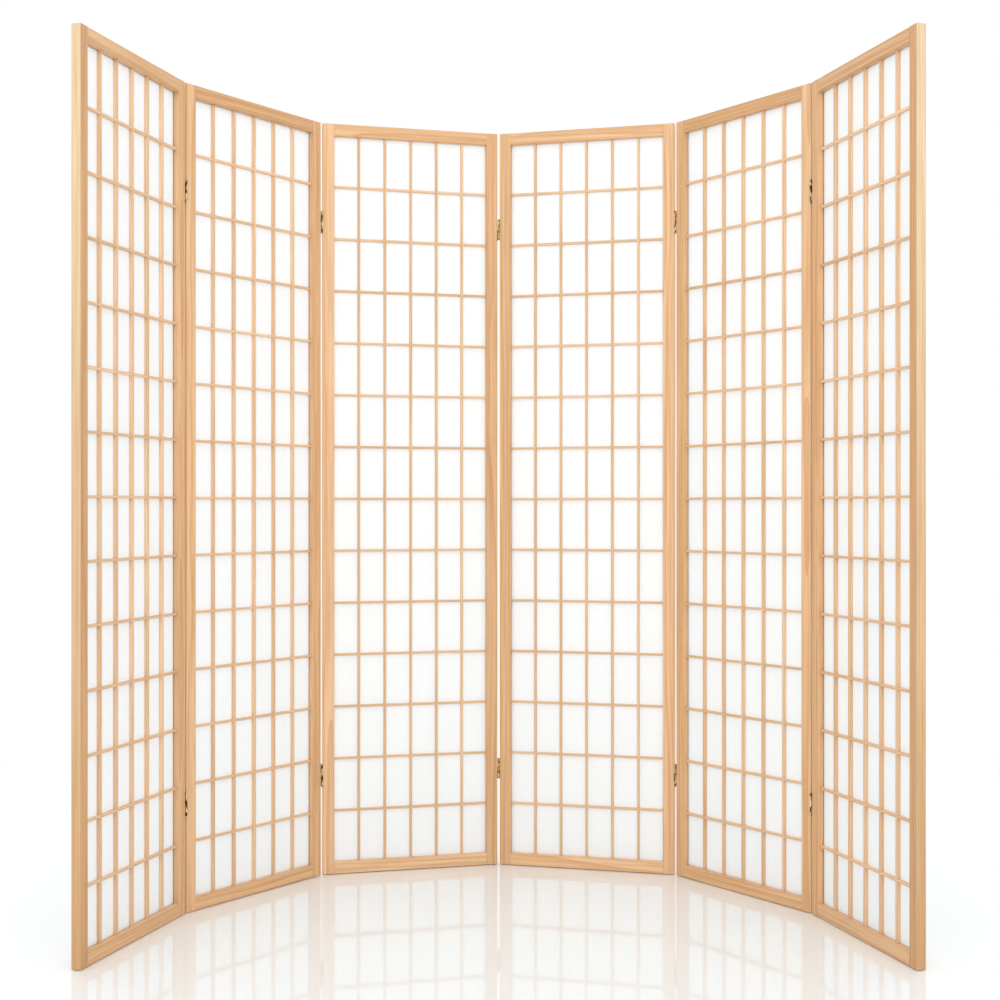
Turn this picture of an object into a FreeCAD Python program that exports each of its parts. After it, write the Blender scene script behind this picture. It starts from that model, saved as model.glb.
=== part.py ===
"""Six-panel folding partition screen: pine frames, lattice, paper and two-way brass hinges.

Millimetres, +Z up. The screen stands in a curve that opens towards -Y, its front. Panel 1 is at
the left seen from the front, and the origin is on the floor under the middle of the screen's box.
"""
import FreeCAD
import Part
import Sketcher
import os
import re

# Driving dimensions in millimetres, with the folds of the standing curve in degrees.
SIZES = {
    "panel_height": 1790.0,
    "panel_width": 430.0,
    "frame_thickness": 20.0,
    "stile_width": 27.0,
    "rail_height": 28.0,
    "edge_ease": 0.8,
    "tenon_length": 18.0,
    "tenon_thickness": 6.5,
    "tenon_shoulder": 4.0,
    "mortise_spare": 0.5,
    "upright_count": 5,
    "upright_width": 5.5,
    "upright_depth": 5.5,
    "crossbar_count": 13,
    "crossbar_height": 5.5,
    "crossbar_depth": 3.0,
    "lattice_setback": 6.5,
    "paper_thickness": 0.3,
    "groove_depth": 3.0,
    "groove_spare": 0.3,
    "hinge_gap": 5.0,
    "hinge_height": 50.0,
    "hinge_inset": 235.0,
    "pin_standoff": 1.3,
    "pin_radius": 1.3,
    "pin_flats": 12,
    "pin_clearance": 0.05,
    "leaf_thickness": 0.9,
    "leaf_clearance": 0.3,
    "knuckle_relief": 0.1,
    "end_fold": 20.0,
    "side_fold": 39.5,
    "middle_fold": 30.0,
}

SHEET_NAMES = {alias: "Sizes." + alias for alias in SIZES}

PANELS = range(1, 7)
HINGES = range(1, 6)

# The panels on the left and right of each hinge are K and K + 1. The front leaf of a hinge sits on
# one of them, the back leaf on the other, and the knuckles of both leaves on the same half.
FRONT_LEAF_PANEL = {1: 2, 2: 2, 3: 4, 4: 5, 5: 5}
LEAF_KNUCKLES_ON_TOP = {1: False, 2: True, 3: True, 4: True, 5: False}

doc = FreeCAD.newDocument("PartitionScreen")
sizes = doc.addObject("Spreadsheet::Sheet", "Sizes")
for line, (alias, number) in enumerate(SIZES.items(), start=1):
    sizes.set(f"A{line}", alias)
    sizes.set(f"B{line}", str(number))
    sizes.setAlias(f"B{line}", alias)
doc.recompute()


def size(text):
    """Turn a sum of plain size names into an expression on the sheet's cells."""
    return re.sub(r"[a-z_]+", lambda word: SHEET_NAMES.get(word.group(), word.group()), text)


# Sums that several pieces share, written in the sheet's names.
INSIDE_WIDTH = "(panel_width - 2 * stile_width)"
INSIDE_HEIGHT = "(panel_height - 2 * rail_height)"
UPRIGHT_PITCH = f"(({INSIDE_WIDTH} + upright_width) / (upright_count + 1))"
CROSSBAR_PITCH = f"(({INSIDE_HEIGHT} + crossbar_height) / (crossbar_count + 1))"
FIRST_UPRIGHT = f"(stile_width + {UPRIGHT_PITCH} - upright_width)"
FIRST_CROSSBAR = f"(rail_height + {CROSSBAR_PITCH} - crossbar_height)"
CROSSBAR_FRONT = "(lattice_setback + upright_depth)"
PAPER_FRONT = f"({CROSSBAR_FRONT} + crossbar_depth)"
GROOVE_WIDTH = "(crossbar_depth + paper_thickness + groove_spare)"
HELD_IN_GROOVE = "(groove_depth - groove_spare)"
TENON_FRONT = "((frame_thickness - tenon_thickness) / 2)"
TENON_HEIGHT = "(rail_height - 2 * tenon_shoulder)"
HINGE_BOTTOM = "(hinge_inset - hinge_height / 2)"
HINGE_SPACING = "(panel_height - 2 * hinge_inset)"
PIN_DISTANCE = "(frame_thickness + 2 * pin_standoff)"
KNUCKLE_RADIUS = "(hinge_gap / 2 - knuckle_relief)"
KNUCKLE_HEIGHT = "((hinge_height - leaf_clearance) / 2)"
WEB_OFFSET = f"({KNUCKLE_RADIUS} - leaf_thickness / 2 - knuckle_relief)"
WEB_ANGLE = f"(atan(2 * {WEB_OFFSET} / {PIN_DISTANCE}))"
WEB_LENGTH = f"(sqrt(({PIN_DISTANCE})^2 + (2 * {WEB_OFFSET})^2))"
LEAF_ROOM = f"((hinge_gap / 2 - leaf_thickness * 3 / 2 - leaf_clearance) / {WEB_OFFSET})"
LEAF_REACH = f"((1 + {LEAF_ROOM}) * {PIN_DISTANCE} / 2)"
PLATE_START = f"({KNUCKLE_RADIUS} + leaf_clearance)"
BORE_RADIUS = "(pin_radius + pin_clearance)"
KNUCKLE_FOOT = {
    True: f"({HINGE_BOTTOM} + hinge_height - {KNUCKLE_HEIGHT})",
    False: HINGE_BOTTOM,
}


def amount(text):
    """The number that a sum of size names comes to."""
    result = sizes.evalExpression(size(text))
    return float(getattr(result, "Value", result))


def new_body(label):
    """An empty body that may hold a group of separate solids."""
    body = doc.addObject("PartDesign::Body", label)
    body.Label = label
    body.AllowCompound = True
    return body


def origin_part(body, role):
    """The body's own plane or axis with the given role."""
    return next(feature for feature in body.Origin.OriginFeatures if feature.Role == role)


def new_on_plane(body, kind, role, offset):
    """A sketch or primitive on one of the body's planes, set off along its own three axes."""
    item = body.newObject(kind, body.Label + "_item")
    item.AttachmentSupport = [(origin_part(body, role), "")]
    item.MapMode = "FlatFace"
    for axis, text in zip("xyz", offset):
        item.setExpression("AttachmentOffset.Base." + axis, size(text))
    return item


def rectangle(body, role, wide, high, offset):
    """A sketched rectangle with its lower left corner at the offset."""
    sketch = new_on_plane(body, "Sketcher::SketchObject", role, offset)
    right = amount(wide)
    top = amount(high)
    corners = [FreeCAD.Vector(x, y) for x, y in ((0, 0), (right, 0), (right, top), (0, top))]
    for start, end in zip(corners, corners[1:] + corners[:1]):
        sketch.addGeometry(Part.LineSegment(start, end))
    for edge in range(4):
        sketch.addConstraint(Sketcher.Constraint("Coincident", edge, 2, (edge + 1) % 4, 1))
        level = "Vertical" if edge % 2 else "Horizontal"
        sketch.addConstraint(Sketcher.Constraint(level, edge))
    sketch.addConstraint(Sketcher.Constraint("Coincident", 0, 1, -1, 1))
    width_index = sketch.addConstraint(Sketcher.Constraint("DistanceX", 0, 1, 0, 2, right))
    height_index = sketch.addConstraint(Sketcher.Constraint("DistanceY", 1, 1, 1, 2, top))
    sketch.setExpression(f"Constraints[{width_index}]", size(wide))
    sketch.setExpression(f"Constraints[{height_index}]", size(high))
    return sketch


def circle(body, radius, offset):
    """A sketched circle on the floor plane with its centre at the offset."""
    sketch = new_on_plane(body, "Sketcher::SketchObject", "XY_Plane", offset)
    round_edge = Part.Circle(FreeCAD.Vector(), FreeCAD.Vector(0, 0, 1), amount(radius))
    sketch.addGeometry(round_edge)
    sketch.addConstraint(Sketcher.Constraint("Coincident", 0, 3, -1, 1))
    radius_index = sketch.addConstraint(Sketcher.Constraint("Radius", 0, amount(radius)))
    sketch.setExpression(f"Constraints[{radius_index}]", size(radius))
    return sketch


def pad(body, sketch, length):
    """Raise a sketch along its normal."""
    feature = body.newObject("PartDesign::Pad", body.Label + "_pad")
    feature.Profile = sketch
    feature.setExpression("Length", size(length))
    return feature


def pocket(body, sketch, depth, along_normal=False):
    """Sink a sketch into the solid, against its normal unless told otherwise."""
    feature = body.newObject("PartDesign::Pocket", body.Label + "_pocket")
    feature.Profile = sketch
    feature.Reversed = along_normal
    feature.setExpression("Length", size(depth))
    return feature


def row(body, originals, axis, pitch, count):
    """Repeat features in a straight row along one of the body's axes."""
    pattern = body.newObject("PartDesign::LinearPattern", body.Label + "_row")
    pattern.Originals = originals
    pattern.Direction = (origin_part(body, axis), [""])
    pattern.setExpression("Length", size(f"{pitch} * ({count} - 1)"))
    pattern.setExpression("Occurrences", size(count))
    body.Tip = pattern
    return pattern


def ease_long_edges(body, blank):
    """Take the sharp corners off the four long edges of a padded bar."""
    doc.recompute()
    edges = blank.Shape.Edges
    longest = max(edge.Length for edge in edges)
    names = [f"Edge{n}" for n, edge in enumerate(edges, start=1) if edge.Length > longest / 2]
    chamfer = body.newObject("PartDesign::Chamfer", body.Label + "_ease")
    chamfer.Base = (blank, names)
    chamfer.setExpression("Size", size("edge_ease"))
    return chamfer


def make_stile(label, on_left):
    """A full-height side of the frame, mortised for two rails and grooved for crossbars and paper."""
    body = new_body(label)
    outer_edge = "0" if on_left else "panel_width - stile_width"
    inner_face = "stile_width" if on_left else "panel_width - stile_width"
    section = rectangle(body, "XY_Plane", "stile_width", "frame_thickness", (outer_edge, "0", "0"))
    ease_long_edges(body, pad(body, section, "panel_height"))
    mouth = (TENON_FRONT, "tenon_shoulder", inner_face)
    mortise = rectangle(body, "YZ_Plane", "tenon_thickness", TENON_HEIGHT, mouth)
    cut = pocket(body, mortise, "tenon_length + mortise_spare", along_normal=not on_left)
    row(body, [cut], "Z_Axis", "(panel_height - rail_height)", "2")
    mouth = (CROSSBAR_FRONT, "rail_height - groove_depth", inner_face)
    groove = rectangle(body, "YZ_Plane", GROOVE_WIDTH, f"{INSIDE_HEIGHT} + 2 * groove_depth", mouth)
    pocket(body, groove, "groove_depth", along_normal=not on_left)
    return body


def make_rail(label, on_top):
    """A rail between the stiles, with a tenon at each end and a groove for the paper."""
    body = new_body(label)
    low_edge = "panel_height - rail_height" if on_top else "0"
    inner_face = "panel_height - rail_height" if on_top else "rail_height"
    section = rectangle(body, "YZ_Plane", "frame_thickness", "rail_height", ("0", low_edge, "stile_width"))
    ease_long_edges(body, pad(body, section, INSIDE_WIDTH))
    start = (TENON_FRONT, f"{low_edge} + tenon_shoulder", "stile_width - tenon_length")
    tenon = rectangle(body, "YZ_Plane", "tenon_thickness", TENON_HEIGHT, start)
    pad(body, tenon, f"{INSIDE_WIDTH} + 2 * tenon_length")
    mouth = ("stile_width", CROSSBAR_FRONT, inner_face)
    groove = rectangle(body, "XY_Plane", INSIDE_WIDTH, GROOVE_WIDTH, mouth)
    pocket(body, groove, "groove_depth", along_normal=on_top)
    return body


def make_uprights(label):
    """The lattice's upright bars, which stand between the rails in front of the crossbars."""
    body = new_body(label)
    foot = (FIRST_UPRIGHT, "lattice_setback", "rail_height")
    section = rectangle(body, "XY_Plane", "upright_width", "upright_depth", foot)
    bar = pad(body, section, INSIDE_HEIGHT)
    row(body, [bar], "X_Axis", UPRIGHT_PITCH, "upright_count")
    return body


def make_crossbars(label):
    """The lattice's level bars, glued behind the uprights with their ends in the stiles' grooves."""
    body = new_body(label)
    end = (CROSSBAR_FRONT, FIRST_CROSSBAR, f"stile_width - {HELD_IN_GROOVE}")
    section = rectangle(body, "YZ_Plane", "crossbar_depth", "crossbar_height", end)
    bar = pad(body, section, f"{INSIDE_WIDTH} + 2 * {HELD_IN_GROOVE}")
    row(body, [bar], "Z_Axis", CROSSBAR_PITCH, "crossbar_count")
    return body


def make_paper(label):
    """The sheet of paper on the backs of the crossbars, its four edges in the frame's groove."""
    body = new_body(label)
    corner = (f"stile_width - {HELD_IN_GROOVE}", PAPER_FRONT, f"rail_height - {HELD_IN_GROOVE}")
    sheet_width = f"({INSIDE_WIDTH} + 2 * {HELD_IN_GROOVE})"
    section = rectangle(body, "XY_Plane", sheet_width, "paper_thickness", corner)
    pad(body, section, f"{INSIDE_HEIGHT} + 2 * {HELD_IN_GROOVE}")
    return body


def make_leaves(label, plate_on_left, knuckles_on_top):
    """Two hinge leaves, each a plate with one rolled knuckle.

    The pin is at the body's origin in plan. The plate lies against the panel's edge, at -X where
    the panel is on the left, and reaches towards +Y across the panel's thickness.
    """
    body = new_body(label)
    edge = "-hinge_gap / 2" if plate_on_left else "hinge_gap / 2 - leaf_thickness"
    foot = KNUCKLE_FOOT[knuckles_on_top]
    plate_length = f"({LEAF_REACH} - {PLATE_START})"
    plate = rectangle(body, "XY_Plane", "leaf_thickness", plate_length, (edge, PLATE_START, HINGE_BOTTOM))
    features = [pad(body, plate, "hinge_height")]
    neck = rectangle(body, "XY_Plane", "leaf_thickness", PLATE_START, (edge, "0", foot))
    features.append(pad(body, neck, KNUCKLE_HEIGHT))
    roll = circle(body, KNUCKLE_RADIUS, ("0", "0", foot))
    features.append(pad(body, roll, KNUCKLE_HEIGHT))
    bore = circle(body, BORE_RADIUS, ("0", "0", f"{foot} + {KNUCKLE_HEIGHT}"))
    features.append(pocket(body, bore, KNUCKLE_HEIGHT))
    row(body, features, "Z_Axis", HINGE_SPACING, "2")
    return body


def many_flats_pin(body, offset):
    """A hinge pin of many flats, which turns freely in a round bore."""
    pin = new_on_plane(body, "PartDesign::AdditivePrism", "XY_Plane", offset)
    pin.setExpression("Polygon", size("pin_flats"))
    pin.setExpression("Circumradius", size("pin_radius"))
    pin.setExpression("Height", size("hinge_height"))
    return pin


def make_links(label, front_leaf_on_left, knuckles_on_top):
    """Two centre links, each with two knuckles and the pins fixed in them.

    The front pin is at the body's origin in plan and the back pin straight behind it at +Y. The
    web slants from the side of the front knuckle that faces away from the front leaf to the other
    side of the back knuckle. Each pin runs on from its knuckle through the knuckle of a leaf.
    """
    body = new_body(label)
    side = "1" if front_leaf_on_left else "-1"
    foot = KNUCKLE_FOOT[knuckles_on_top]
    corner = (
        f"{side} * {WEB_OFFSET} - leaf_thickness / 2 * cos({WEB_ANGLE})",
        f"-{side} * leaf_thickness / 2 * sin({WEB_ANGLE})",
        foot,
    )
    web = rectangle(body, "XY_Plane", "leaf_thickness", WEB_LENGTH, corner)
    web.setExpression("AttachmentOffset.Rotation.Angle", size(f"{side} * {WEB_ANGLE}"))
    features = [pad(body, web, KNUCKLE_HEIGHT)]
    for place in ("0", PIN_DISTANCE):
        roll = circle(body, KNUCKLE_RADIUS, ("0", place, foot))
        features.append(pad(body, roll, KNUCKLE_HEIGHT))
        features.append(many_flats_pin(body, ("0", place, HINGE_BOTTOM)))
    row(body, features, "Z_Axis", HINGE_SPACING, "2")
    return body


def turned(angle, x, y):
    """A placement turned about +Z and then moved in plan."""
    return FreeCAD.Placement(FreeCAD.Vector(x, y, 0), FreeCAD.Rotation(FreeCAD.Vector(0, 0, 1), angle))


# Each panel is built in its own frame: X from its left edge, Y from its front face, Z from the floor.
nodes = {}
frame_of = {}
for number in PANELS:
    name = f"panel_{number}_"
    pieces = [
        make_stile(name + "left_stile", on_left=True),
        make_stile(name + "right_stile", on_left=False),
        make_rail(name + "top_rail", on_top=True),
        make_rail(name + "bottom_rail", on_top=False),
        make_uprights(name + "uprights"),
        make_crossbars(name + "crossbars"),
        make_paper(name + "paper"),
    ]
    for piece in pieces:
        nodes[piece.Label] = piece

# The pins of a hinge, in plan, in the frames of the panels on its left and on its right.
PIN_BESIDE_RIGHT_EDGE = amount("panel_width + hinge_gap / 2")
PIN_BESIDE_LEFT_EDGE = amount("-hinge_gap / 2")
FRONT_PIN = amount("-pin_standoff")
BACK_PIN = amount("frame_thickness + pin_standoff")

# The standing curve: each panel's turn about the upright, and the front pins that chain them.
turns = {3: amount("middle_fold / 2"), 4: amount("-middle_fold / 2")}
turns[2] = turns[3] + amount("side_fold")
turns[1] = turns[2] + amount("end_fold")
turns[5] = turns[4] - amount("side_fold")
turns[6] = turns[5] - amount("end_fold")
frame_of[1] = turned(turns[1], 0, 0)
for number in PANELS[1:]:
    shared_pin = frame_of[number - 1].multVec(FreeCAD.Vector(PIN_BESIDE_RIGHT_EDGE, FRONT_PIN, 0))
    from_pin = turned(turns[number], 0, 0).multVec(FreeCAD.Vector(PIN_BESIDE_LEFT_EDGE, FRONT_PIN, 0))
    corner = shared_pin - from_pin
    frame_of[number] = turned(turns[number], corner.x, corner.y)
for number in PANELS:
    for label, piece in nodes.items():
        if label.startswith(f"panel_{number}_"):
            piece.Placement = frame_of[number]

# Hinges: the link stays in line with the panel that carries the back leaf.
for number in HINGES:
    name = f"hinge_{number}_"
    front_panel = FRONT_LEAF_PANEL[number]
    front_on_left = front_panel == number
    back_panel = number + 1 if front_on_left else number
    on_top = LEAF_KNUCKLES_ON_TOP[number]
    front_edge = PIN_BESIDE_RIGHT_EDGE if front_on_left else PIN_BESIDE_LEFT_EDGE
    back_edge = PIN_BESIDE_LEFT_EDGE if front_on_left else PIN_BESIDE_RIGHT_EDGE
    front_leaves = make_leaves(name + "front_leaves", front_on_left, on_top)
    front_leaves.Placement = frame_of[front_panel].multiply(turned(0, front_edge, FRONT_PIN))
    back_leaves = make_leaves(name + "back_leaves", front_on_left, on_top)
    back_leaves.Placement = frame_of[back_panel].multiply(turned(180, back_edge, BACK_PIN))
    links = make_links(name + "links", front_on_left, not on_top)
    links.Placement = frame_of[back_panel].multiply(turned(0, back_edge, FRONT_PIN))
    for piece in (front_leaves, back_leaves, links):
        nodes[piece.Label] = piece

# Centre the standing screen over the origin.
doc.recompute()
box = FreeCAD.BoundBox()
for piece in nodes.values():
    box.add(piece.Shape.optimalBoundingBox(False))
to_centre = FreeCAD.Vector(-box.Center.x, -box.Center.y, 0)
for piece in nodes.values():
    piece.Placement = FreeCAD.Placement(piece.Placement.Base + to_centre, piece.Placement.Rotation)
doc.recompute()

# Nothing is written unless every feature and every piece is sound.
for item in doc.Objects:
    if "Invalid" in item.State or "Error" in item.State:
        raise RuntimeError(f"{item.Label} failed: {item.State}")
for label, piece in nodes.items():
    if piece.Shape.isNull() or not piece.Shape.isValid():
        raise RuntimeError(f"{label} has no sound shape")

os.makedirs("parts", exist_ok=True)
for label, piece in nodes.items():
    piece.Shape.exportStep(f"parts/{label}.step")
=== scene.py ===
import math
import random

import bpy
from mathutils import Matrix, Vector, noise


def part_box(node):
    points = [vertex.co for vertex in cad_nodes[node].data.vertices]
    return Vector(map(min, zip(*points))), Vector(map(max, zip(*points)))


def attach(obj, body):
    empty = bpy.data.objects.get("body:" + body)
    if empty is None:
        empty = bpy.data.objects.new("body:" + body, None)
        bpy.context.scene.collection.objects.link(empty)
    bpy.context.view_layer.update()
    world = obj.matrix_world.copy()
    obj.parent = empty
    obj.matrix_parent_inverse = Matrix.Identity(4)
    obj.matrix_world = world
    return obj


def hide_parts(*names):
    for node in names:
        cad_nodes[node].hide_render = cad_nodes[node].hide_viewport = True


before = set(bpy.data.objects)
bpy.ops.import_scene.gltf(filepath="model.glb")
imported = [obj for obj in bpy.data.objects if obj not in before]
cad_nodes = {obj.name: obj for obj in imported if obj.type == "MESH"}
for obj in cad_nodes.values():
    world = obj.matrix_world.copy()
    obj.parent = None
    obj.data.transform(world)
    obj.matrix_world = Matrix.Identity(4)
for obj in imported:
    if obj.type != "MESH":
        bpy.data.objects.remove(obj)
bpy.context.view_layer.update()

# Stiles and rails: planed pine, mortised and tenoned together, under a thin clear coat.
# The grain runs along each piece, every piece is cut from another board, and the outer edge faces of
# the two end stiles carry a painted highlight: a pale colour, strongest at the top, that runs out
# towards the foot.
PANEL_TURN = {1: 74.5, 2: 54.5, 3: 15, 4: -15, 5: -54.5, 6: -74.5}
FRAME_PIECES = ("left_stile", "right_stile", "top_rail", "bottom_rail")
BOARD_TONES = {
    1: (0.84, 0.96, 0.9, 1.0),
    2: (1.04, 0.975, 0.86, 1.02),
    3: (1.08, 0.965, 1.03, 1.13),
    4: (0.96, 1.07, 1.02, 1.14),
    5: (0.98, 1.03, 0.865, 1.01),
    6: (0.965, 0.845, 0.905, 1.005),
}
PINE_WOODS = {"Early wood": (0.8, 0.5, 0.265, 1), "Late wood": (0.6, 0.31, 0.14, 1)}
# Painted highlight on the outer edge faces of the end stiles: its pale colour, and the side of each
# stile that carries it.
END_FACE_HIGHLIGHT = (0.99, 0.82, 0.585, 1)
HIGHLIGHT_SIDE = {"panel_1_left_stile": -1, "panel_6_right_stile": 1}
WHOLE_BOARD = 4.0
board_yard = random.Random(11)


def add_node(tree, kind, settings, inputs):
    """Put a shader node in a tree, with its settings, and with numbers or links on its inputs."""
    node = tree.nodes.new(kind)
    for name, value in settings.items():
        setattr(node, name, value)
    for name, value in inputs.items():
        if isinstance(value, bpy.types.NodeSocket):
            tree.links.new(value, node.inputs[name])
        else:
            node.inputs[name].default_value = value
    return node


def sum_of(tree, kind, first, second, third=0.5):
    """The number that a math node makes of two or three numbers."""
    numbers = {0: first, 1: second, 2: third}
    return add_node(tree, "ShaderNodeMath", {"operation": kind}, numbers).outputs[0]


def product(tree, first, second):
    """Two numbers multiplied."""
    return sum_of(tree, "MULTIPLY", first, second)


def moved(tree, kind, first, second):
    """The vector that a vector math node makes of two vectors."""
    vectors = {0: first, 1: second}
    return add_node(tree, "ShaderNodeVectorMath", {"operation": kind}, vectors).outputs[0]


def mixed(tree, kind, factor, first, second):
    """The colour that two colours give, mixed or multiplied by a factor."""
    settings = {"data_type": "RGBA", "blend_type": kind}
    return add_node(tree, "ShaderNodeMix", settings, {0: factor, 6: first, 7: second}).outputs[2]


def spread(tree, value, low, high):
    """A value from 0 to 1 spread over another range."""
    return add_node(tree, "ShaderNodeMapRange", {}, {0: value, 3: low, 4: high}).outputs[0]


def step_up(tree, value, low, high):
    """0 below the low value, 1 above the high one, and a smooth rise between them."""
    settings = {"interpolation_type": "SMOOTHSTEP"}
    return add_node(tree, "ShaderNodeMapRange", settings, {0: value, 1: low, 2: high}).outputs[0]


def speckle(tree, place, scale, detail, roughness=0.5):
    """Soft noise from 0 to 1 at a place."""
    inputs = {"Vector": place, "Scale": scale, "Detail": detail, "Roughness": roughness}
    return add_node(tree, "ShaderNodeTexNoise", {}, inputs).outputs["Fac"]


def drawn_speckle(tree, place, stretch, detail, roughness=0.5):
    """Soft noise with its own scale along each axis."""
    return speckle(tree, moved(tree, "MULTIPLY", place, stretch), 1, detail, roughness)


def new_group(name, inputs, outputs):
    """An empty shader group with named sockets, and its two end nodes."""
    group = bpy.data.node_groups.new(name, "ShaderNodeTree")
    for in_out, sockets in (("INPUT", inputs), ("OUTPUT", outputs)):
        for socket_name, kind in sockets.items():
            group.interface.new_socket(socket_name, in_out=in_out, socket_type="NodeSocket" + kind)
    taken_in = group.nodes.new("NodeGroupInput").outputs
    given_out = group.nodes.new("NodeGroupOutput").inputs
    return group, taken_in, given_out


NEXT_BAR_IN_LOG = (0.0171, 0.0093, 0.613)
SLOW_ALONG = (1, 1, 0.12)
WANDER_SCALE = 9
RING_WANDER = (0.022, 0.022, 0.022)
RING_SCALE = 62
RING_SHARPNESS = 2.2
FIBRE_SCALE = (900, 900, 16)
CLOUD_SCALE = 14
STREAK_SCALE = (230, 230, 4)
STREAK_EDGES = (0.3, 0.7)
BLUSH_SCALE = (95, 95, 2.5)
BLUSH_EDGES = (0.35, 0.65)

pine_grain, board, planed = new_group(
    "pine_grain",
    {"Board": "Vector", "Pith": "Vector", "Bar pitch": "Float", "Early wood": "Color",
     "Late wood": "Color", "Tone": "Float", "Highlight side": "Float"},
    {"Color": "Color", "Roughness": "Float", "Height": "Float"},
)
across, _, along = add_node(pine_grain, "ShaderNodeSeparateXYZ", {}, {0: board["Board"]}).outputs
pitches = sum_of(pine_grain, "DIVIDE", across, board["Bar pitch"])
bar_number = sum_of(pine_grain, "FLOOR", sum_of(pine_grain, "ADD", pitches, 0.5), 0)
bar_chance = add_node(pine_grain, "ShaderNodeTexWhiteNoise", {"noise_dimensions": "1D"},
                      {"W": bar_number}).outputs["Value"]
bar_start = add_node(pine_grain, "ShaderNodeVectorMath", {"operation": "SCALE"},
                     {0: NEXT_BAR_IN_LOG, "Scale": bar_number}).outputs[0]
board_in_log = moved(pine_grain, "ADD", board["Board"], board["Pith"])
log_place = moved(pine_grain, "ADD", board_in_log, bar_start)
slow_sweep = moved(pine_grain, "MULTIPLY", log_place, SLOW_ALONG)
wander = add_node(pine_grain, "ShaderNodeTexNoise", {},
                  {"Vector": slow_sweep, "Scale": WANDER_SCALE, "Detail": 2}).outputs["Color"]
grown = moved(pine_grain, "ADD", slow_sweep, moved(pine_grain, "MULTIPLY", wander, RING_WANDER))
rings = add_node(pine_grain, "ShaderNodeTexWave",
                 {"wave_type": "RINGS", "rings_direction": "Z", "wave_profile": "SAW"},
                 {"Vector": grown, "Scale": RING_SCALE, "Distortion": 0}).outputs["Fac"]
late_wood = sum_of(pine_grain, "POWER", rings, RING_SHARPNESS)
fibre = drawn_speckle(pine_grain, log_place, FIBRE_SCALE, detail=3, roughness=0.6)
cloud = speckle(pine_grain, slow_sweep, CLOUD_SCALE, detail=2)
streak = drawn_speckle(pine_grain, log_place, STREAK_SCALE, detail=3, roughness=0.6)
streak = step_up(pine_grain, streak, *STREAK_EDGES)
blush = drawn_speckle(pine_grain, log_place, BLUSH_SCALE, detail=2)
blush = step_up(pine_grain, blush, *BLUSH_EDGES)

LATE_WOOD_SHARE = 0.62
PALE_STREAK = (0.985, 1.015, 1.05, 1)
ROSY_STREAK = (1.01, 0.975, 0.94, 1)
# Painted highlight: where it lies across the stile's edge, how it rises up the stile, and how much of
# it shows at the top.
HIGHLIGHT_EDGES = (0.0119, 0.0133)
HIGHLIGHT_RISE = (-1.1, 1.1)
HIGHLIGHT_SHARE = 0.85

late_share = product(pine_grain, late_wood, LATE_WOOD_SHARE)
wood_colour = mixed(pine_grain, "MIX", late_share, board["Early wood"], board["Late wood"])
blush_colour = mixed(pine_grain, "MIX", blush, PALE_STREAK, ROSY_STREAK)
wood_colour = mixed(pine_grain, "MULTIPLY", 1, wood_colour, blush_colour)
# Painted highlight: the outer edge face of an end stile goes over into a pale colour, most at the top
# and fading towards the foot.
outwards = product(pine_grain, across, board["Highlight side"])
highlit_edge = step_up(pine_grain, outwards, *HIGHLIGHT_EDGES)
highlight_towards_top = step_up(pine_grain, along, *HIGHLIGHT_RISE)
painted_highlight = product(pine_grain, highlit_edge, spread(pine_grain, highlight_towards_top, 0, HIGHLIGHT_SHARE))
wood_colour = mixed(pine_grain, "MIX", painted_highlight, wood_colour, END_FACE_HIGHLIGHT)

FIBRE_TONES = (0.9, 1.08)
CLOUD_TONES = (0.94, 1.06)
STREAK_TONES = (1.07, 0.91)
BAR_TONES = (0.95, 1.05)
GREEN_DEPTH = 1.4
BLUE_DEPTH = 2.1
LATE_WOOD_RISE = -0.4
PINE_ROUGHNESS = (0.42, 0.58)

fibre_tone = spread(pine_grain, fibre, *FIBRE_TONES)
tone = product(pine_grain, fibre_tone, spread(pine_grain, cloud, *CLOUD_TONES))
tone = product(pine_grain, tone, spread(pine_grain, streak, *STREAK_TONES))
tone = product(pine_grain, tone, spread(pine_grain, bar_chance, *BAR_TONES))
tone = product(pine_grain, tone, board["Tone"])
green_tone = sum_of(pine_grain, "POWER", tone, GREEN_DEPTH)
blue_tone = sum_of(pine_grain, "POWER", tone, BLUE_DEPTH)
depth_of_colour = add_node(pine_grain, "ShaderNodeCombineColor", {},
                           {0: tone, 1: green_tone, 2: blue_tone}).outputs[0]
wood_colour = mixed(pine_grain, "MULTIPLY", 1, wood_colour, depth_of_colour)
planed_height = sum_of(pine_grain, "MULTIPLY_ADD", late_wood, LATE_WOOD_RISE, fibre)
pine_grain.links.new(wood_colour, planed["Color"])
pine_grain.links.new(spread(pine_grain, fibre, *PINE_ROUGHNESS), planed["Roughness"])
pine_grain.links.new(planed_height, planed["Height"])


def box_centre(node_name):
    """The middle of a CAD node's box."""
    low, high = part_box(node_name)
    return (low + high) / 2


def new_material(name):
    """A material with only its output and shader, and the tree that holds them."""
    material = bpy.data.materials.new(name)
    material.use_nodes = True
    return material, material.node_tree, material.node_tree.nodes["Principled BSDF"]


def object_place(tree):
    """The point of the surface in the object's own space."""
    return add_node(tree, "ShaderNodeTexCoord", {}, {}).outputs["Object"]


def surface_from(tree, shader, effect, bump_settings):
    """Put an effect's colour, roughness and height on a material's shader."""
    bump = add_node(tree, "ShaderNodeBump", {}, {**bump_settings, "Height": effect["Height"]})
    tree.links.new(effect["Color"], shader.inputs["Base Color"])
    tree.links.new(effect["Roughness"], shader.inputs["Roughness"])
    tree.links.new(bump.outputs[0], shader.inputs["Normal"])


PITH_PLACES = ((-0.03, 0.03), (0.03, 0.07), (0, 3))
PINE_BUMP = {"Strength": 0.25, "Distance": 0.0002}
COAT_WEIGHT = 0.12
COAT_ROUGHNESS = 0.3


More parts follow.
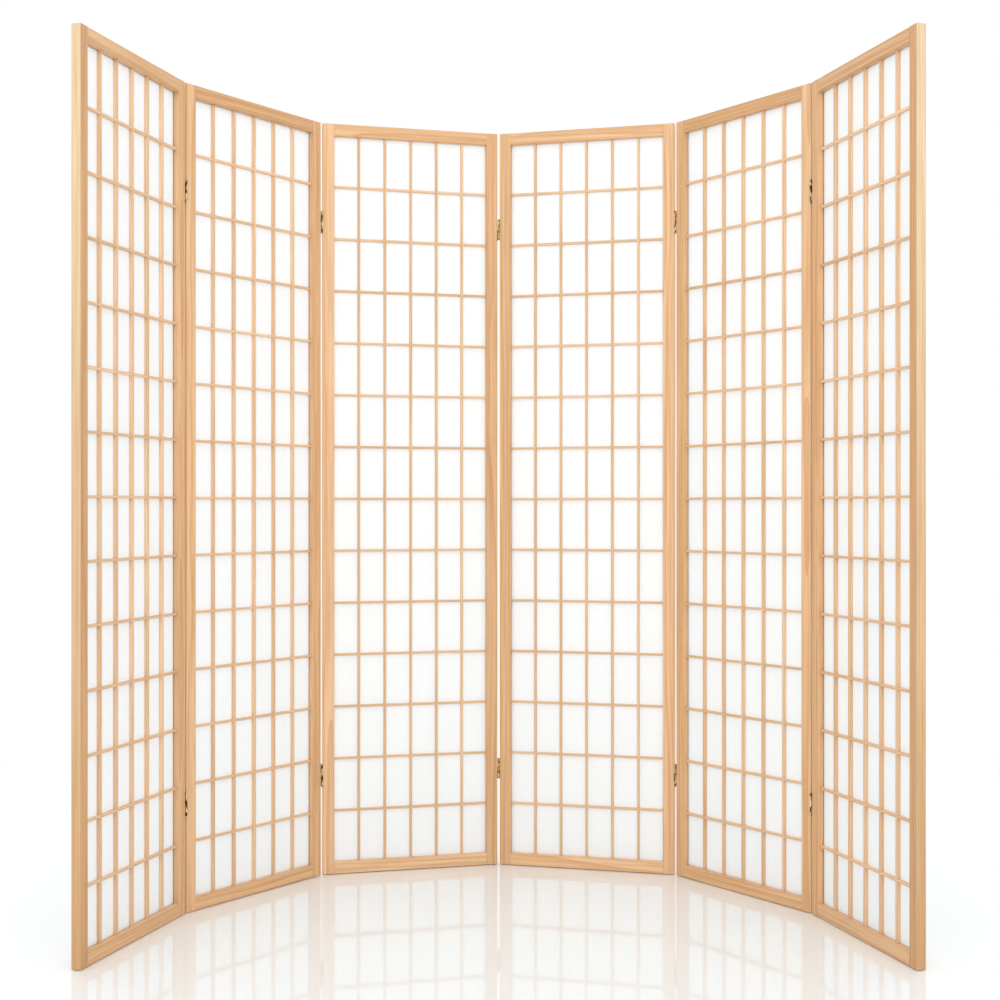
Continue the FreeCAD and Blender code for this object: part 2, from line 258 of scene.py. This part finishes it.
def pine_for(node_name, turn, lies_across, tone, woods, bar_pitch):
    """Pine for what stands at a CAD node, with the grain up the panel or across it.

    Each bar of a row at the given pitch comes from its own place in the log.
    """
    material, tree, shader = new_material("pine_" + node_name)
    to_board = Matrix.Rotation(math.radians(-turn), 3, "Z")
    if lies_across:
        to_board = Matrix.Rotation(math.radians(90), 3, "Y") @ to_board
    pith = [board_yard.uniform(nearest, furthest) for nearest, furthest in PITH_PLACES]
    on_board = add_node(tree, "ShaderNodeMapping", {},
                        {"Vector": object_place(tree), "Location": -(to_board @ box_centre(node_name)),
                         "Rotation": to_board.to_euler("XYZ")}).outputs[0]
    grain = add_node(tree, "ShaderNodeGroup", {"node_tree": pine_grain},
                     {"Board": on_board, "Pith": pith, "Bar pitch": bar_pitch, "Tone": tone, **woods,
                      "Highlight side": HIGHLIGHT_SIDE.get(node_name, 0)}).outputs
    surface_from(tree, shader, grain, PINE_BUMP)
    shader.inputs["Coat Weight"].default_value = COAT_WEIGHT
    shader.inputs["Coat Roughness"].default_value = COAT_ROUGHNESS
    return material


for panel, turn in PANEL_TURN.items():
    for piece, board_tone in zip(FRAME_PIECES, BOARD_TONES[panel]):
        node_name = f"panel_{panel}_{piece}"
        pine = pine_for(node_name, turn, "rail" in piece, board_tone, PINE_WOODS, WHOLE_BOARD)
        cad_nodes[node_name].data.materials.clear()
        cad_nodes[node_name].data.materials.append(pine)

# Lattice: thin pine bars, lapped into each other so that their faces are level. The uprights are
# notched at the back, the crossbars at the front, and tongues on the ends of the crossbars sit in
# the grooves of the stiles. Depths are measured from the middle of the paper.
INSIDE_WIDTH = 0.376
INSIDE_HEIGHT = 1.734
UPRIGHTS = 5
CROSSBARS = 13
BAR_WIDTH = 0.0055
HALF_BAR = BAR_WIDTH / 2
BAR_EASE = 0.0003
UPRIGHT_PITCH = (INSIDE_WIDTH + BAR_WIDTH) / (UPRIGHTS + 1)
CROSSBAR_PITCH = (INSIDE_HEIGHT + BAR_WIDTH) / (CROSSBARS + 1)
TONGUE_LENGTH = 0.0027
TONGUE_SHOULDER = 0.0005
LATTICE_FRONT = -0.00865
LAP_LEVEL = -0.00315
LATTICE_BACK = -0.00015
BAR_WOODS = {"Early wood": (0.8, 0.54, 0.325, 1), "Late wood": (0.64, 0.38, 0.2, 1)}
LATTICE_TONES = {1: 1.03, 2: 1.05, 3: 1.02, 4: 1.03, 5: 1.04, 6: 1.035}


def add_block(low, high):
    """A plain block between two corners."""
    bpy.ops.object.select_all(action="DESELECT")
    bpy.ops.mesh.primitive_cube_add(size=1, location=(Vector(low) + Vector(high)) / 2)
    block = bpy.context.object
    block.scale = Vector(high) - Vector(low)
    bpy.ops.object.transform_apply(location=True, rotation=True, scale=True)
    return block


def finish_with(piece, kind, **settings):
    """Shape a piece with a modifier and apply it."""
    modifier = piece.modifiers.new(kind.lower(), kind)
    for name, value in settings.items():
        setattr(modifier, name, value)
    bpy.context.view_layer.objects.active = piece
    bpy.ops.object.modifier_apply(modifier=modifier.name)


def repeat(piece, count, step):
    """Repeat a piece in a straight row."""
    finish_with(piece, "ARRAY", count=count, use_relative_offset=False, use_constant_offset=True,
                constant_offset_displace=step)


def combine(piece, other, operation):
    """Cut another block out of a piece, or add it, and remove that block."""
    finish_with(piece, "BOOLEAN", object=other, operation=operation)
    bpy.data.objects.remove(other)


def own_copy(piece):
    """A copy of a piece with its own mesh."""
    copy = piece.copy()
    copy.data = piece.data.copy()
    bpy.context.collection.objects.link(copy)
    return copy


left_upright = -UPRIGHT_PITCH * (UPRIGHTS - 1) / 2
bar_left, bar_right = left_upright - HALF_BAR, left_upright + HALF_BAR
lowest_crossbar = -CROSSBAR_PITCH * (CROSSBARS - 1) / 2
bar_low, bar_high = lowest_crossbar - HALF_BAR, lowest_crossbar + HALF_BAR

upright_row = add_block((bar_left, LATTICE_FRONT, -INSIDE_HEIGHT / 2),
                        (bar_right, LATTICE_BACK, INSIDE_HEIGHT / 2))
finish_with(upright_row, "BEVEL", width=BAR_EASE, segments=1)
notches = add_block((bar_left - HALF_BAR, LAP_LEVEL, bar_low),
                    (bar_right + HALF_BAR, LATTICE_BACK + BAR_WIDTH, bar_high))
repeat(notches, CROSSBARS, (0, 0, CROSSBAR_PITCH))
combine(upright_row, notches, "DIFFERENCE")
repeat(upright_row, UPRIGHTS, (UPRIGHT_PITCH, 0, 0))

crossbar_row = add_block((-INSIDE_WIDTH / 2, LATTICE_FRONT, bar_low),
                         (INSIDE_WIDTH / 2, LATTICE_BACK, bar_high))
finish_with(crossbar_row, "BEVEL", width=BAR_EASE, segments=1)
tongue_end = INSIDE_WIDTH / 2 + TONGUE_LENGTH
tongue = add_block((-tongue_end, LAP_LEVEL + TONGUE_SHOULDER, bar_low + TONGUE_SHOULDER),
                   (tongue_end, LATTICE_BACK - TONGUE_SHOULDER, bar_high - TONGUE_SHOULDER))
combine(crossbar_row, tongue, "UNION")
notches = add_block((bar_left, LATTICE_FRONT - BAR_WIDTH, bar_low - HALF_BAR),
                    (bar_right, LAP_LEVEL, bar_high + HALF_BAR))
repeat(notches, UPRIGHTS, (UPRIGHT_PITCH, 0, 0))
combine(crossbar_row, notches, "DIFFERENCE")
repeat(crossbar_row, CROSSBARS, (0, 0, CROSSBAR_PITCH))

bar_rows = {"uprights": (upright_row, UPRIGHT_PITCH), "crossbars": (crossbar_row, CROSSBAR_PITCH)}
for panel, turn in PANEL_TURN.items():
    for kind, (bar_row, pitch) in bar_rows.items():
        node_name = f"panel_{panel}_{kind}"
        bars = own_copy(bar_row)
        bars.name = bars.data.name = f"panel_{panel}_lapped_{kind}"
        bars.rotation_euler = (0, 0, math.radians(turn))
        bars.location = box_centre(f"panel_{panel}_paper")
        bpy.ops.object.select_all(action="DESELECT")
        bars.select_set(True)
        bpy.context.view_layer.objects.active = bars
        bpy.ops.object.transform_apply(location=True, rotation=True, scale=True)
        bars.data.materials.append(
            pine_for(node_name, turn, kind == "crossbars", LATTICE_TONES[panel], BAR_WOODS, pitch))
        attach(bars, f"panel_{panel}")
        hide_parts(node_name)
for bar_row, _ in bar_rows.values():
    bpy.data.objects.remove(bar_row)

# Paper: one fibrous white sheet to a panel, glued to the backs of the bars and held by its edges
# in the frame's groove. It was pasted on damp, so it has dried almost flat, with a little cockle
# in each window of the lattice.
PAPER_WIDTH = 0.3814
PAPER_LENGTH = 1.7394
PAPER_THICKNESS = 0.0003
PAPER_COLUMNS = 36
PAPER_ROWS = 112
COCKLE_DEPTH = 0.0007
COCKLE_SCALE = 9
NEXT_SHEET = 3.7
HELD_EDGE = 0.02
SMOOTH_ANGLE = math.radians(30)
PALE_PULP = (0.972, 0.983, 0.988, 1)
DULL_PULP = (0.95, 0.96, 0.965, 1)
PULP_SCALE = 60
HAIR_COLOUR = (0.89, 0.89, 0.875, 1)
HAIR_SHARE = 0.5
HAIR_CURL = {"Scale": 34, "Detail": 2, "Distortion": 2.4}
HAIR_SPACING = 0.06
HAIR_WIDTH = 0.006
PAPER_BUMP = {"Strength": 0.2, "Distance": 0.0003}
PAPER_ROUGHNESS = (0.75, 0.95)
PAPER_GLOSS = 0.25
LIGHT_THROUGH = 0.6

paper_white, tree, shader = new_material("screen_paper")
where = object_place(tree)
curl = add_node(tree, "ShaderNodeTexNoise", {}, {"Vector": where, **HAIR_CURL}).outputs["Fac"]
from_hair = sum_of(tree, "PINGPONG", curl, HAIR_SPACING)
hairs = sum_of(tree, "SUBTRACT", 1, step_up(tree, from_hair, 0, HAIR_WIDTH))
pulp = speckle(tree, where, PULP_SCALE, detail=4, roughness=0.65)
paper_colour = mixed(tree, "MIX", pulp, PALE_PULP, DULL_PULP)
paper_colour = mixed(tree, "MIX", product(tree, hairs, HAIR_SHARE), paper_colour, HAIR_COLOUR)
fibrous = {"Color": paper_colour, "Roughness": spread(tree, pulp, *PAPER_ROUGHNESS), "Height": hairs}
surface_from(tree, shader, fibrous, PAPER_BUMP)
shader.inputs["Specular IOR Level"].default_value = PAPER_GLOSS
through = add_node(tree, "ShaderNodeBsdfTranslucent", {}, {"Color": paper_colour}).outputs[0]
lit_sheet = add_node(tree, "ShaderNodeMixShader", {},
                     {0: LIGHT_THROUGH, 1: shader.outputs[0], 2: through}).outputs[0]
tree.links.new(lit_sheet, tree.nodes["Material Output"].inputs["Surface"])

for panel, turn in PANEL_TURN.items():
    bpy.ops.object.select_all(action="DESELECT")
    bpy.ops.mesh.primitive_grid_add(x_subdivisions=PAPER_COLUMNS, y_subdivisions=PAPER_ROWS, size=1)
    sheet = bpy.context.object
    sheet.name = sheet.data.name = f"panel_{panel}_paper_sheet"
    sheet.scale = (PAPER_WIDTH, PAPER_LENGTH, 1)
    sheet.rotation_euler = (math.radians(90), 0, 0)
    bpy.ops.object.transform_apply(location=False, rotation=True, scale=True)
    for vertex in sheet.data.vertices:
        sideways, _, up = vertex.co
        window = math.sin(math.pi * up / CROSSBAR_PITCH) * math.sin(math.pi * sideways / UPRIGHT_PITCH)
        from_edge = min(PAPER_WIDTH / 2 - abs(sideways), PAPER_LENGTH / 2 - abs(up))
        damp = noise.noise((sideways * COCKLE_SCALE, panel * NEXT_SHEET, up * COCKLE_SCALE)) + 0.5
        vertex.co.y = COCKLE_DEPTH * window ** 2 * min(1, from_edge / HELD_EDGE) * max(0, min(1, damp))
    finish_with(sheet, "SOLIDIFY", thickness=PAPER_THICKNESS, offset=0)
    bpy.ops.object.shade_smooth_by_angle(angle=SMOOTH_ANGLE)
    sheet.rotation_euler = (0, 0, math.radians(turn))
    sheet.location = box_centre(f"panel_{panel}_paper")
    bpy.ops.object.transform_apply(location=True, rotation=True, scale=True)
    sheet.data.materials.append(paper_white)
    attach(sheet, f"panel_{panel}")
    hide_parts(f"panel_{panel}_paper")

# Hinges: brass strip rolled into knuckles round fixed pins, under an antique finish. The dark
# film is thick in streaks and worn back to bright metal between them.
LEAF_BRIGHT = (0.93, 0.74, 0.44, 1)
LEAF_DARK = (0.075, 0.04, 0.014, 1)
FILM_SCALE = (260, 260, 85)
FILM_EDGES = (0.42, 0.58)
DRAWN_SCALE = (2600, 2600, 60)
DRAWN_TONES = (0.9, 1.06)
BRASS_ROUGHNESS = (0.3, 0.5)
BRASS_BUMP = {"Strength": 0.15, "Distance": 0.0001}

worn_brass, metal, finish = new_group(
    "worn_brass",
    {"Place": "Vector", "Bright": "Color", "Dark": "Color"},
    {"Color": "Color", "Roughness": "Float", "Height": "Float"},
)
drawn = drawn_speckle(worn_brass, metal["Place"], DRAWN_SCALE, detail=2)
film = drawn_speckle(worn_brass, metal["Place"], FILM_SCALE, detail=3, roughness=0.55)
film = step_up(worn_brass, film, *FILM_EDGES)
film_colour = mixed(worn_brass, "MIX", film, metal["Bright"], metal["Dark"])
brass_colour = mixed(worn_brass, "MULTIPLY", 1, film_colour, spread(worn_brass, drawn, *DRAWN_TONES))
worn_brass.links.new(brass_colour, finish["Color"])
worn_brass.links.new(spread(worn_brass, film, *BRASS_ROUGHNESS), finish["Roughness"])
worn_brass.links.new(drawn, finish["Height"])


def new_brass(name, bright, dark):
    """Antique brass in its own two colours."""
    material, tree, shader = new_material(name)
    wear = add_node(tree, "ShaderNodeGroup", {"node_tree": worn_brass},
                    {"Place": object_place(tree), "Bright": bright, "Dark": dark}).outputs
    surface_from(tree, shader, wear, BRASS_BUMP)
    shader.inputs["Metallic"].default_value = 1
    return material


leaf_brass = new_brass("hinge_brass", LEAF_BRIGHT, LEAF_DARK)
for node_name, node in cad_nodes.items():
    if node_name.startswith("hinge_"):
        node.data.materials.clear()
        node.data.materials.append(leaf_brass)

# Hinge screws: three small countersunk brass screws with cross recesses hold each leaf to the
# edge of its stile. Their heads stand a hair proud of the plate. The head is made in millimetres.
FRONT_LEAF_EDGE = {1: (2, "left"), 2: (2, "right"), 3: (4, "left"), 4: (5, "left"), 5: (5, "right")}
BACK_LEAF_EDGE = {1: (1, "right"), 2: (3, "left"), 3: (3, "right"), 4: (4, "right"), 5: (6, "left")}
PAPER_MIDDLE = Vector((0.215, 0.01515, 0.895))
LEAF_FACE = {"left": -0.0009, "right": 0.4309}
LEAF_MIDDLE = {"front": 0.0083, "back": 0.0117}
FACING_OUT = {"left": math.radians(-90), "right": math.radians(90)}
HINGE_HEIGHTS = (0.235, 1.555)
SCREW_STEPS = (-0.017, 0, 0.017)
HEAD_RADIUS = 2.3
HEAD_SIDES = 20
HEAD_DEPTH = 0.5
HEAD_PROUD = 0.14
HEAD_SOFTENING = 0.1
RECESS_LENGTH = 2.6
RECESS_WIDTH = 0.55
MILLIMETRE = 0.001
SCREW_BRIGHT = (0.8, 0.62, 0.34, 1)
SCREW_DARK = (0.3, 0.19, 0.08, 1)

bpy.ops.object.select_all(action="DESELECT")
bpy.ops.mesh.primitive_cylinder_add(vertices=HEAD_SIDES, radius=HEAD_RADIUS, depth=HEAD_DEPTH,
                                    location=(0, 0, HEAD_PROUD - HEAD_DEPTH / 2))
screw_head = bpy.context.object
bpy.ops.object.transform_apply(location=True, rotation=True, scale=True)
finish_with(screw_head, "BEVEL", width=HEAD_SOFTENING, segments=2)
for quarter_turn in (0, math.radians(90)):
    bpy.ops.mesh.primitive_cube_add(size=1, location=(0, 0, HEAD_PROUD), rotation=(0, 0, quarter_turn))
    recess = bpy.context.object
    recess.scale = (RECESS_LENGTH, RECESS_WIDTH, HEAD_DEPTH)
    bpy.ops.object.transform_apply(location=True, rotation=True, scale=True)
    combine(screw_head, recess, "DIFFERENCE")

screw_brass = new_brass("screw_brass", SCREW_BRIGHT, SCREW_DARK)
for side, leaf_edge in (("front", FRONT_LEAF_EDGE), ("back", BACK_LEAF_EDGE)):
    for hinge, (panel, edge) in leaf_edge.items():
        turned = Matrix.Rotation(math.radians(PANEL_TURN[panel]), 4, "Z")
        to_room = (Matrix.Translation(box_centre(f"panel_{panel}_paper")) @ turned
                   @ Matrix.Translation(-PAPER_MIDDLE))
        facing_out = Matrix.Rotation(FACING_OUT[edge], 4, "Y")
        bpy.ops.object.select_all(action="DESELECT")
        for height in HINGE_HEIGHTS:
            for step in SCREW_STEPS:
                screw = own_copy(screw_head)
                driven = Matrix.Rotation(board_yard.uniform(0, math.pi), 4, "Z")
                seat = Matrix.Translation((LEAF_FACE[edge], LEAF_MIDDLE[side], height + step))
                screw.matrix_world = to_room @ seat @ facing_out @ driven @ Matrix.Scale(MILLIMETRE, 4)
                screw.select_set(True)
                bpy.context.view_layer.objects.active = screw
        bpy.ops.object.join()
        screws = bpy.context.object
        bpy.ops.object.transform_apply(location=True, rotation=True, scale=True)
        screws.name = screws.data.name = f"hinge_{hinge}_{side}_screws"
        bpy.ops.object.shade_smooth_by_angle(angle=SMOOTH_ANGLE)
        screws.data.materials.append(screw_brass)
        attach(screws, f"panel_{panel}")
bpy.data.objects.remove(screw_head)

# Floor: a plain white sweep with a slight polish. It keeps the screen's shadow and a faint
# reflection, and further out it goes over into the white of the room. It lies a hair below the
# frames, which leaves a thin dark line along their feet.
FLOOR_SIZE = 60
FLOOR_LEVEL = -0.0015
FLOOR_NEAR = 1.3
FLOOR_FAR = 2.6
FLOOR_COLOUR = (0.915, 0.95, 0.955, 1)
FLOOR_ROUGHNESS = 0.03
WHITE = (1, 1, 1, 1)


def seen_rays(tree):
    """1 for the rays that show a background: from the camera, from gloss and through glass."""
    rays = add_node(tree, "ShaderNodeLightPath", {}, {}).outputs
    shown = sum_of(tree, "MAXIMUM", rays["Is Camera Ray"], rays["Is Glossy Ray"])
    return sum_of(tree, "MAXIMUM", shown, rays["Is Transmission Ray"])


bpy.ops.object.select_all(action="DESELECT")
bpy.ops.mesh.primitive_plane_add(size=FLOOR_SIZE, location=(0, 0, FLOOR_LEVEL))
floor = bpy.context.object
floor.name = "floor"
floor_white, tree, shader = new_material("floor_white")
shader.inputs["Base Color"].default_value = FLOOR_COLOUR
shader.inputs["Roughness"].default_value = FLOOR_ROUGHNESS
reach = add_node(tree, "ShaderNodeVectorMath", {"operation": "LENGTH"},
                 {0: object_place(tree)}).outputs["Value"]
share = product(tree, step_up(tree, reach, FLOOR_NEAR, FLOOR_FAR), seen_rays(tree))
glow = add_node(tree, "ShaderNodeEmission", {}, {"Color": WHITE, "Strength": 1}).outputs[0]
sweep = add_node(tree, "ShaderNodeMixShader", {}, {0: share, 1: shader.outputs[0], 2: glow}).outputs[0]
tree.links.new(sweep, tree.nodes["Material Output"].inputs["Surface"])
floor.data.materials.append(floor_white)

# Light: a white room, a broad lamp high in front, and two weaker ones behind that shine through
# the paper. The lamps don't show in the polish of the floor.
ROOM_LIGHT = 0.92
FRONT_LAMP_WIDTH = 3.0
FRONT_LAMP_POWER = 40
BACK_LAMP_WIDTH = 2.4
BACK_LAMP_POWER = 21

world = bpy.data.worlds.new("white_room")
bpy.context.scene.world = world
world.use_nodes = True
tree = world.node_tree
room = tree.nodes["Background"]
room.inputs["Color"].default_value = WHITE
tree.links.new(spread(tree, seen_rays(tree), ROOM_LIGHT, 1), room.inputs["Strength"])


def hang_lamp(name, place, aim, width, power):
    """A square soft lamp that faces a point."""
    bpy.ops.object.light_add(type="AREA", location=place)
    lamp = bpy.context.object
    lamp.name = name
    lamp.data.size = width
    lamp.data.energy = power
    lamp.visible_glossy = False
    lamp.rotation_euler = (Vector(aim) - Vector(place)).to_track_quat("-Z", "Y").to_euler()


hang_lamp("lamp_front", (0, -3.2, 2.4), (0, 0, 0.7), FRONT_LAMP_WIDTH, FRONT_LAMP_POWER)
hang_lamp("lamp_behind_left", (-2.6, 2.4, 1.4), (-0.4, 0, 0.5), BACK_LAMP_WIDTH, BACK_LAMP_POWER)
hang_lamp("lamp_behind_right", (2.6, 2.4, 1.4), (0.4, 0, 0.5), BACK_LAMP_WIDTH, BACK_LAMP_POWER)

# Camera: level, at half the screen's height, straight in front of the middle hinge. The lens and
# the shift set the frame of the picture.
CAMERA_PLACE = (0, -3.4115, 0.874)
CAMERA_LENS = 56.38
CAMERA_SHIFT = (0.0014, 0.0076)
bpy.ops.object.camera_add(location=CAMERA_PLACE, rotation=(math.radians(90), 0, 0))
camera = bpy.context.object
camera.data.lens = CAMERA_LENS
camera.data.shift_x, camera.data.shift_y = CAMERA_SHIFT
bpy.context.scene.camera = camera
bpy.context.scene.view_settings.view_transform = "Standard"
